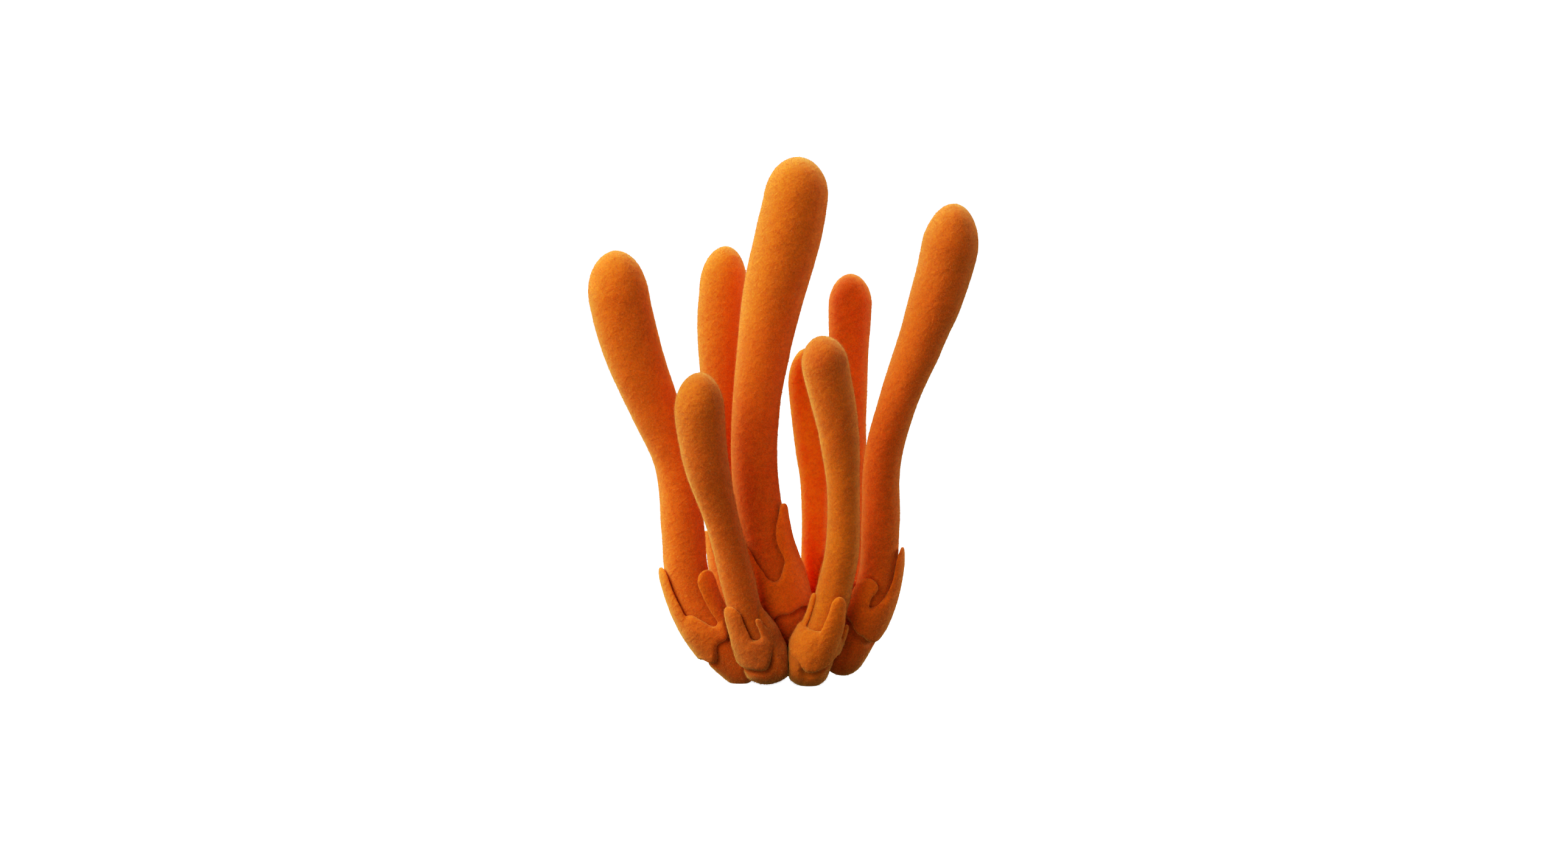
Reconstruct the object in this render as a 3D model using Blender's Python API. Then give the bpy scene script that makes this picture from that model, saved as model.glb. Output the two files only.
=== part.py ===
"""A bunch of eight cordyceps clubs that grow from one spot, cut off flat where they left the ground.

A club is one piece from its rounded head to its swollen foot. A skin-like sheath wraps each foot,
with a lip at its lower end and finger-like lobes along its rim. The feet are pressed together, so
each is flattened where it meets the next one. The viewer looks along +Y: front is -Y, right is +X.
Lengths and heights are in millimetres until a mesh is made of them, which is in metres.
"""

import math

import bmesh
import bpy
import numpy as np

MILLIMETRE = 0.001
GAP = 0.3  # left between pieces that touch
SHEATH_THICKNESS = 0.6
SHEATH_DEPTH = GAP + SHEATH_THICKNESS  # from a club's skin to the outside of its sheath
PRESSED_BELOW = 24.0  # the feet and sheaths touch each other below this height
BARE_START = 0.3  # a foot stays under the depth of its sheath for this length below the lip
BARE_FADE = 1.2  # and then swells out to the sheath's own outline over this length
GROUND_SNAP = 0.2  # points of a foot this near the ground are moved onto it before the cut
SHEATH_FLARE = 0.15  # how far the tip of a lobe stands off
LOBE_POWER = 0.75  # under 1 makes a lobe rounder and fuller than a parabola

CLUB_SIDES = 16
FOOT_RINGS = 3  # round the end of the foot
BARE_RINGS = 2  # from there to the lip of the sheath
SHEATHED_RINGS = 6  # from the lip to the tip of the highest lobe
FREE_RINGS = 7  # from there to the rounded tip
TIP_RINGS = 4  # round the tip
SHEATH_SIDES = 36
SHEATH_ROWS = 3

# A path runs from the foot to the tip: x, y, height and diameter. The first and the last point
# are the two ends of the club, and their rounding starts at the points next to them.
# A lobe is its direction in degrees from the front, towards the right, its half width in degrees
# and the height that it reaches. The lip and the rim are heights on the middle line of the club,
# and the lip's rise is how much higher than that it runs on the right, and lower on the left.
CLUBS = {
    "left": {
        "path": [
            (-3.4, -1.4, 1.2, 0),
            (-5.6, -1.6, 2.5, 5.4),
            (-7.6, -1.8, 4.5, 5.8),
            (-10.6, -1.9, 8.7, 6.0),
            (-12.8, -2.0, 14.4, 5.6),
            (-13.4, -2.2, 20.5, 5.6),
            (-14.5, -2.6, 30.3, 6.2),
            (-17.1, -3.2, 36.9, 7.0),
            (-20.2, -4.0, 45.1, 8.1),
            (-21.8, -4.4, 51.7, 8.4),
            (-22.5, -4.6, 58.0, 0),
        ],
        "lip": 4.7,
        "lip_rise": 0.4,
        "rim": 8.3,
        "lobes": [(-88, 52, 15.4), (62, 34, 15.2), (142, 30, 12.6), (-152, 26, 11.6)],
        "colour": (0.62, 0.13, 0.012),
    },
    "back_left": {
        "path": [
            (-2.4, 4.4, -1.6, 0),
            (-3.0, 4.7, 0.9, 5.0),
            (-4.8, 5.2, 6.1, 5.3),
            (-6.2, 5.5, 11.8, 4.7),
            (-7.1, 5.8, 17.4, 4.4),
            (-7.8, 6.6, 27.1, 4.7),
            (-8.2, 7.8, 38.4, 5.8),
            (-8.4, 8.6, 46.4, 6.7),
            (-8.1, 9.0, 52.0, 6.7),
            (-7.7, 9.3, 57.7, 0),
        ],
        "lip": 4.6,
        "lip_rise": 0.0,
        "rim": 10.4,
        "lobes": [(-84, 38, 18.4), (10, 30, 14.0), (112, 32, 15.2), (178, 34, 16.4)],
        "colour": (0.62, 0.075, 0.006),
    },
    "centre": {
        "path": [
            (0.3, 0.8, 0.7, 0),
            (0.2, 0.9, 3.4, 6.6),
            (0.0, 1.0, 6.8, 7.2),
            (-0.8, 1.0, 12.1, 7.0),
            (-2.4, 1.2, 18.2, 6.6),
            (-3.7, 1.6, 25.9, 6.5),
            (-3.6, 2.0, 37.3, 6.7),
            (-2.6, 2.3, 44.6, 7.5),
            (-0.9, 2.5, 53.5, 8.7),
            (0.5, 2.7, 59.0, 9.1),
            (1.6, 2.8, 64.4, 8.9),
            (2.2, 2.9, 70.0, 0),
        ],
        "lip": 8.6,
        "lip_rise": 0.5,
        "rim": 13.3,
        "lobes": [(76, 60, 23.3), (-92, 66, 19.6), (178, 34, 17.0)],
        "colour": (0.55, 0.09, 0.008),
    },
    "front_left": {
        "path": [
            (-1.5, -4.6, 0.2, 0),
            (-2.0, -4.7, 2.4, 5.8),
            (-3.1, -4.8, 4.7, 5.6),
            (-4.8, -5.1, 9.0, 4.6),
            (-6.2, -5.7, 14.5, 4.7),
            (-7.3, -6.4, 19.0, 4.6),
            (-8.6, -7.2, 23.8, 4.9),
            (-10.2, -8.2, 29.8, 6.2),
            (-11.1, -8.8, 36.8, 6.9),
            (-11.1, -9.2, 42.2, 0),
        ],
        "lip": 2.9,
        "lip_rise": 0.0,
        "rim": 6.3,
        "lobes": [(-44, 36, 10.6), (28, 11, 8.8), (-98, 24, 9.2), (170, 34, 10.4)],
        "colour": (0.42, 0.09, 0.008),
    },
    "front_right": {
        "path": [
            (2.3, -4.6, -0.15, 0),
            (3.1, -4.7, 2.4, 5.5),
            (4.1, -4.8, 4.9, 5.4),
            (5.5, -5.1, 8.3, 4.8),
            (6.6, -5.7, 12.4, 4.8),
            (7.8, -6.6, 18.6, 4.6),
            (7.9, -7.4, 25.1, 4.5),
            (7.3, -8.3, 33.8, 5.6),
            (5.5, -9.0, 43.0, 6.5),
            (4.7, -9.3, 47.0, 0),
        ],
        "lip": 3.0,
        "lip_rise": 0.5,
        "rim": 7.2,
        "lobes": [(25, 27, 11.7), (-76, 20, 12.4), (98, 24, 8.9), (164, 30, 10.8), (-134, 26, 9.8)],
        "colour": (0.5, 0.11, 0.01),
    },
    "back": {
        "path": [
            (0.2, 7.9, -1.6, 0),
            (1.0, 7.9, 0.9, 4.6),
            (2.6, 7.7, 5.9, 5.0),
            (4.1, 7.5, 11.2, 4.4),
            (4.4, 7.4, 17.3, 4.2),
            (4.4, 7.6, 24.6, 4.4),
            (3.8, 8.2, 32.0, 5.2),
            (3.3, 8.7, 38.4, 5.7),
            (3.0, 9.0, 44.0, 0),
        ],
        "lip": 4.8,
        "lip_rise": -0.4,
        "rim": 9.8,
        "lobes": [(48, 42, 17.2), (-70, 30, 13.4), (176, 42, 15.4)],
        "colour": (0.62, 0.07, 0.005),
    },
    "back_right": {
        "path": [
            (2.4, 4.9, -1.2, 0),
            (3.5, 4.7, 1.3, 4.6),
            (6.0, 4.3, 6.0, 4.9),
            (7.8, 4.0, 11.5, 4.3),
            (8.6, 4.2, 17.6, 4.1),
            (9.0, 5.2, 26.5, 4.2),
            (8.8, 6.6, 35.2, 4.9),
            (8.7, 7.7, 42.4, 5.5),
            (8.9, 8.6, 49.7, 6.1),
            (9.0, 9.0, 54.0, 0),
        ],
        "lip": 4.4,
        "lip_rise": 0.3,
        "rim": 9.6,
        "lobes": [(-20, 28, 13.6), (104, 34, 15.8), (-160, 38, 14.8)],
        "colour": (0.58, 0.06, 0.005),
    },
    "right": {
        "path": [
            (6.2, -0.9, 1.3, 0),
            (8.1, -0.9, 3.9, 5.1),
            (9.8, -0.9, 6.8, 5.1),
            (11.3, -1.0, 10.0, 5.2),
            (12.5, -1.1, 14.4, 5.2),
            (12.9, -1.0, 21.3, 5.3),
            (13.2, -0.6, 29.8, 5.3),
            (15.3, 0.1, 37.7, 5.5),
            (18.3, 1.0, 45.6, 6.5),
            (20.5, 1.6, 51.7, 7.5),
            (22.0, 2.0, 57.4, 7.9),
            (22.9, 2.2, 63.8, 0),
        ],
        "lip": 6.9,
        "lip_rise": 0.0,
        "rim": 10.1,
        "lobes": [(92, 58, 18.0), (-36, 32, 14.6), (-112, 28, 13.0), (176, 30, 13.6)],
        "colour": (0.58, 0.11, 0.009),
    },
}


class Club:
    """A club's curved middle line and its radius, by the distance along it from the foot's end."""

    def __init__(self, shape):
        self.shape = shape
        self.stations = np.array(shape["path"], float)
        self.stations[0, 3] = self.stations[1, 3]
        self.stations[-1, 3] = self.stations[-2, 3]
        self.knots = np.append(0.0, np.linalg.norm(np.diff(self.stations[:, :3], axis=0), axis=1).cumsum())
        self.slopes = np.gradient(self.stations, self.knots, axis=0)
        self.length = self.knots[-1]
        self.foot_rounding = self.knots[1]
        self.tip_rounding = self.length - self.knots[-2]
        self.table = self.line(np.linspace(0.0, self.length, 200))

    def line(self, distance):
        """x, y, height and diameter of the middle line, as one row for each distance."""
        part = np.clip(np.searchsorted(self.knots, distance, "right") - 1, 0, len(self.knots) - 2)
        span = self.knots[part + 1] - self.knots[part]
        step = (distance - self.knots[part]) / span
        span, step = span[:, None], step[:, None]
        return (
            (2 * step**3 - 3 * step**2 + 1) * self.stations[part]
            + (step**3 - 2 * step**2 + step) * span * self.slopes[part]
            + (3 * step**2 - 2 * step**3) * self.stations[part + 1]
            + (step**3 - step**2) * span * self.slopes[part + 1]
        )

    def distance_at(self, height):
        """The distance along the middle line at which it passes this height."""
        return np.interp(height, self.table[:, 2], np.linspace(0.0, self.length, len(self.table)))

    def at_height(self, height):
        """x, y and radius of the middle line where it passes each height."""
        return [np.interp(height, self.table[:, 2], self.table[:, column]) for column in (0, 1)] + [
            np.interp(height, self.table[:, 2], self.table[:, 3] / 2)
        ]

    def ring_distances(self):
        """Where the rings of the mesh lie, with one at each end of the sheath."""
        foot = self.foot_rounding * (1 - np.cos(np.linspace(0, math.pi / 2, FOOT_RINGS + 1)))
        tip = self.length - self.tip_rounding * (1 - np.cos(np.linspace(math.pi / 2, 0, TIP_RINGS + 1)))
        lip = self.distance_at(self.shape["lip"] - abs(self.shape["lip_rise"]))
        lobe_tip = self.distance_at(max(top for _, _, top in self.shape["lobes"]))
        bare = np.linspace(foot[-1], lip, BARE_RINGS + 1)
        sheathed = np.linspace(lip, lobe_tip, SHEATHED_RINGS + 1)
        free = np.linspace(lobe_tip, tip[0], FREE_RINGS + 1)
        return np.concatenate([foot[:-1], bare[:-1], sheathed[:-1], free, tip[1:]])

    def rounding(self, distance):
        """1 along the club, falling to 0 at both ends as an ellipse does."""
        foot = np.clip((self.foot_rounding - distance) / self.foot_rounding, 0, 1)
        tip = np.clip((distance - self.length + self.tip_rounding) / self.tip_rounding, 0, 1)
        return np.sqrt(1 - foot**2) * np.sqrt(1 - tip**2)

    def surface(self, distance, angle, offset=0.0):
        """Points on the skin, or this far outside it, at a distance and an angle from the front."""
        here = self.line(distance)
        ahead = self.line(np.minimum(distance + 0.05, self.length))
        behind = self.line(np.maximum(distance - 0.05, 0))
        along = (ahead - behind)[:, :3]
        along /= np.linalg.norm(along, axis=1)[:, None]
        front = np.array([0.0, -1.0, 0.0]) + along[:, 1:2] * along
        front /= np.linalg.norm(front, axis=1)[:, None]
        right = np.cross(along, front)
        radius = here[:, 3] / 2 * self.rounding(distance) + offset
        turn = front * np.cos(angle)[:, None] + right * np.sin(angle)[:, None]
        return here[:, :3] + radius[:, None] * turn


def press(points, name, depth):
    """Moves points back to their own side of the flats between the pressed feet.

    The flat between two feet is upright, and halfway between their outsides at each height. A
    layer that lies this deep under the outside of the sheath stays as deep under the flat.
    """
    own_x, own_y, own_radius = CENTRE_LINES[name].at_height(points[:, 2])
    own_radius = own_radius + SHEATH_DEPTH
    low = points[:, 2] < PRESSED_BELOW
    for other, line in CENTRE_LINES.items():
        if other == name:
            continue
        x, y, radius = line.at_height(points[:, 2])
        radius = radius + SHEATH_DEPTH
        away = np.stack([x - own_x, y - own_y], axis=1)
        apart = np.linalg.norm(away, axis=1)
        away /= apart[:, None]
        flat = apart / 2 + (own_radius**2 - radius**2) / (2 * apart) - GAP / 2 - depth
        reach = (points[:, 0] - own_x) * away[:, 0] + (points[:, 1] - own_y) * away[:, 1]
        too_far = np.where(low, np.maximum(reach - flat, 0), 0)
        points[:, :2] -= too_far[:, None] * away
    return points


def rim_height(shape, angle):
    """How high the sheath reaches at each angle: the rim, and the lobes that rise from it."""
    height = np.full(len(angle), float(shape["rim"]))
    for direction, half_width, top in shape["lobes"]:
        turn = (angle - math.radians(direction) + math.pi) % (2 * math.pi) - math.pi
        across = np.clip(np.abs(turn) / math.radians(half_width), 0, 1)
        height = np.maximum(height, shape["rim"] + (top - shape["rim"]) * (1 - across**2) ** LOBE_POWER)
    return height


def club_mesh(name, shape):
    """A sphere drawn out along the club's middle line, and cut off flat at the ground."""
    line = CENTRE_LINES[name]
    mesh = bmesh.new()
    rings = line.ring_distances()
    bmesh.ops.create_uvsphere(mesh, u_segments=CLUB_SIDES, v_segments=len(rings) - 1, radius=1.0)
    places = np.array([vertex.co for vertex in mesh.verts])
    latitude = np.arccos(np.clip(-places[:, 2], -1, 1)) / math.pi
    distance = rings[np.rint(latitude * (len(rings) - 1)).astype(int)]
    angle = np.arctan2(places[:, 0], -places[:, 1])
    points = line.surface(distance, angle)
    lip = line.distance_at(shape["lip"] + shape["lip_rise"] * np.sin(angle))
    bare = np.clip((lip - BARE_START - distance) / BARE_FADE, 0, 1)
    points = press(points, name, SHEATH_DEPTH * (1 - bare))
    points[np.abs(points[:, 2]) < GROUND_SNAP, 2] = 0
    set_points(mesh, points)
    ground = bmesh.ops.bisect_plane(
        mesh,
        geom=mesh.verts[:] + mesh.edges[:] + mesh.faces[:],
        dist=0.00001,
        plane_co=(0, 0, 0),
        plane_no=(0, 0, -1),
        clear_outer=True,
    )
    cut_edges = [item for item in ground["geom_cut"] if isinstance(item, bmesh.types.BMEdge)]
    if cut_edges:
        bmesh.ops.holes_fill(mesh, edges=cut_edges, sides=0)
    return mesh


def sheath_mesh(name, shape):
    """A ring wrapped round the foot: up its outside to the rim and its lobes, and down its inside."""
    line = CENTRE_LINES[name]
    around = 2 * (SHEATH_ROWS + 1)
    mesh = bmesh.new()
    bmesh.ops.create_circle(mesh, segments=around, radius=1.0)
    for vertex in mesh.verts:
        vertex.co = (vertex.co.x + 3.0, 0, vertex.co.y)
    bmesh.ops.spin(
        mesh,
        geom=mesh.verts[:] + mesh.edges[:],
        cent=(0, 0, 0),
        axis=(0, 0, 1),
        angle=2 * math.pi,
        steps=SHEATH_SIDES,
        use_merge=True,
    )
    places = np.array([vertex.co for vertex in mesh.verts])
    angle = np.arctan2(places[:, 0], -places[:, 1])
    turn = np.arctan2(places[:, 2], np.hypot(places[:, 0], places[:, 1]) - 3.0)
    step = np.rint(turn / (2 * math.pi) * around) % around
    outside = step <= SHEATH_ROWS
    row = np.where(outside, step, around - 1 - step) / SHEATH_ROWS
    bottom = line.distance_at(shape["lip"] + shape["lip_rise"] * np.sin(angle))
    top = line.distance_at(rim_height(shape, angle))
    lowest_top = line.distance_at(shape["rim"])
    flare = SHEATH_FLARE * np.clip((top - lowest_top) / 5.0, 0, 1) * row**3
    offset = np.where(outside, SHEATH_DEPTH, GAP) + flare
    points = line.surface(bottom + (top - bottom) * row, angle, offset)
    points = press(points, name, np.where(outside, 0.0, SHEATH_THICKNESS))
    set_points(mesh, points)
    if mesh.calc_volume(signed=True) < 0:
        bmesh.ops.reverse_faces(mesh, faces=mesh.faces)
    return mesh


def set_points(mesh, points):
    for vertex, point in zip(mesh.verts, points):
        vertex.co = point * MILLIMETRE


def velvet(name, colour):
    material = bpy.data.materials.new(name)
    material.use_nodes = True
    shader = material.node_tree.nodes["Principled BSDF"]
    shader.inputs["Base Color"].default_value = (*colour, 1.0)
    shader.inputs["Roughness"].default_value = 0.9
    shader.inputs["Metallic"].default_value = 0.0
    return material


def add_piece(name, mesh, material):
    data = bpy.data.meshes.new(name)
    mesh.to_mesh(data)
    mesh.free()
    data.shade_smooth()
    data.set_sharp_from_angle(angle=math.radians(60))
    data.materials.append(material)
    bpy.context.scene.collection.objects.link(bpy.data.objects.new(name, data))


for old in list(bpy.data.objects):
    bpy.data.objects.remove(old)

CENTRE_LINES = {name: Club(shape) for name, shape in CLUBS.items()}

for name, shape in CLUBS.items():
    finish = velvet(name, shape["colour"])
    add_piece("club_" + name, club_mesh(name, shape), finish)
    add_piece("sheath_" + name, sheath_mesh(name, shape), finish)
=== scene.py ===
"""The looks of a bunch of eight cordyceps clubs: velvet skin, lobed sheaths round the feet, and a
nap of short fibres on both, in a white studio.

Every club and sheath is modelled here in millimetres, finely, in the place that its solid holds in
the frame, and is then brought to metres. Creases, nap, tones and lamps are worked out in metres.
The viewer looks along +Y: front is -Y, right is +X.
"""

import math

import bmesh
import bpy
import mathutils
import numpy as np
from mathutils.bvhtree import BVHTree
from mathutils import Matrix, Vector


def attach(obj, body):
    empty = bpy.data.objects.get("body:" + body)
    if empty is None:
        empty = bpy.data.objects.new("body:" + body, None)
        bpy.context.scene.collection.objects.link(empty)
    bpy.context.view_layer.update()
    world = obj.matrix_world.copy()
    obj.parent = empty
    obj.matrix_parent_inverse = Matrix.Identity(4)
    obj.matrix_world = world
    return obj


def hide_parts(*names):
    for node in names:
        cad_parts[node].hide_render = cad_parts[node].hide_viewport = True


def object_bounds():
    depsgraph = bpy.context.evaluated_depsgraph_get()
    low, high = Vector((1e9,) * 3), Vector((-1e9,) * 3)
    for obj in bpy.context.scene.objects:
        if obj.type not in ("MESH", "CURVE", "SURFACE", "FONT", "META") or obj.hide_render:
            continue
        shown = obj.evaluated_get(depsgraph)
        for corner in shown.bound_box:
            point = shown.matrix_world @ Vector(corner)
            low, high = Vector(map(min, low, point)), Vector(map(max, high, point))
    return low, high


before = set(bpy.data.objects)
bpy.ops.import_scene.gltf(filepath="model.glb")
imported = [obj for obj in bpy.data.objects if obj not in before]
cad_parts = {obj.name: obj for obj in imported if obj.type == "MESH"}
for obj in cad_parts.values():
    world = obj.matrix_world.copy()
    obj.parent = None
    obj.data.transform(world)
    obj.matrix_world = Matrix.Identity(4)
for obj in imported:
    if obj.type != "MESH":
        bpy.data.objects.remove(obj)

CAD_BOX = [list(corner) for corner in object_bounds()]

MILLIMETRE = 0.001

# How the feet and the sheaths press on each other, in millimetres.
GAP = -0.15  # pressed feet grow into each other by this much
SHEATH_DEPTH = 0.9  # from a club's skin to the outside of its sheath
SKIN_OVERLAP = 0.12  # a sheath has grown onto the foot, so its inside lies this far in
PRESSED_BELOW = 24.0  # the feet and sheaths press on each other below this height
PRESS_FADE = 4.0  # and ease free over this height above it
PRESS_EASE = 0.12  # rounds the border of a pressed flat

# The skin of a club, in millimetres.
BARE_START = 0.1  # a foot is bare from this far below the lip of its sheath
BARE_FADE = 0.9  # and has its full swell this much further down
FOOT_SWELL = 0.35  # how much thicker a foot is below the lip than inside the sheath
MERGE_SINK = 0.25  # a lip sunk this far is lost in a foot nearly as thick as the sheath
MERGE_SWELL = 0.72  # how much thicker such a foot is
MERGE_START = 2.6  # where it is lost, the foot starts to swell this far above the lip
MERGE_FADE = 1.2  # and has its full swell this much further down
NAP_SINK = 0.08  # above the sheaths the skin lies this much deeper, under its nap
NAP_SINK_START = 20.0  # from this height on
NAP_SINK_FADE = 8.0  # and in full this much higher
CLUB_SPACING = 0.19  # between the points of a club's skin
LINE_SAMPLES = 400  # places along a middle line where its heights are looked up
TANGENT_STEP = 0.05  # a direction is read between places this far before and after

# A sheath: its collar and its leaves, in millimetres.
SHEATH_VOXEL = 0.1  # the size of the cells in which the collar and the leaves are joined
COLLAR_SIDES = 180
COLLAR_ROWS = 20
COLLAR_RADIUS = 3.0  # of the ring that a collar is drawn from
EDGE_ROUNDING = 0.75  # the edges of a sheath are rounded over this length
EDGE_REACH = 1.3  # a lifted edge eases back to the sheath's own depth over this length
SINK_REACH = 3.5  # and a sunken one over this much more for each millimetre
LEAF_SIDES = 28
LEAF_RINGS = 40
LEAF_THICKNESS = 1.0
LEAF_ROOT = 0.5  # the root is rounded over this share of its half width
LEAF_CROWN = 0.45  # below 1, a leaf keeps its thickness until close to its ends

# The felt relief, in millimetres.
LUMP_SIZE, LUMP_DEPTH = 5.0, 0.2
PEBBLE_SIZE, PEBBLE_DEPTH = 0.55, 0.05
CUT_REACH = 0.0001  # points this near the ground count as on it
SHARP_ANGLE = 70  # degrees; only the flat under a foot has edges sharper than this

# Creases and nap, in metres.
CREASE_WIDTH = 0.0008  # the painted shade of a crease fades out over this length
CREASED_BELOW = 0.030  # only what lies below this height paints shade on its neighbours
NAP_DENSITY = {"club": 45e6, "sheath": 32e6}  # fibres to a square metre
NAP_LENGTH = {"club": 0.00034, "sheath": 0.00028}
NAP_SHORTEST = 0.5  # the shortest fibre's share of that length
NAP_WIDTH = 0.000028
NAP_LEAN = 0.45  # how far the fibres lean away from upright
NAP_CREASE_LIMIT = 0.4  # none stand where a crease's painted shade is deeper than this
NAP_SEED = 7

# The picture.
CAMERA_ELEVATION = 5.0  # degrees
CAMERA_DISTANCE = 1200.0
FRAME_WIDTH = 208.7  # the width of the picture at the bunch
FRAME_CENTRE = (0.04, 34.0)  # the point of the bunch in the middle of the picture, x and height
SENSOR_WIDTH = 36.0
WHITE = 2.2  # the light that the picture shows as white

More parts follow.
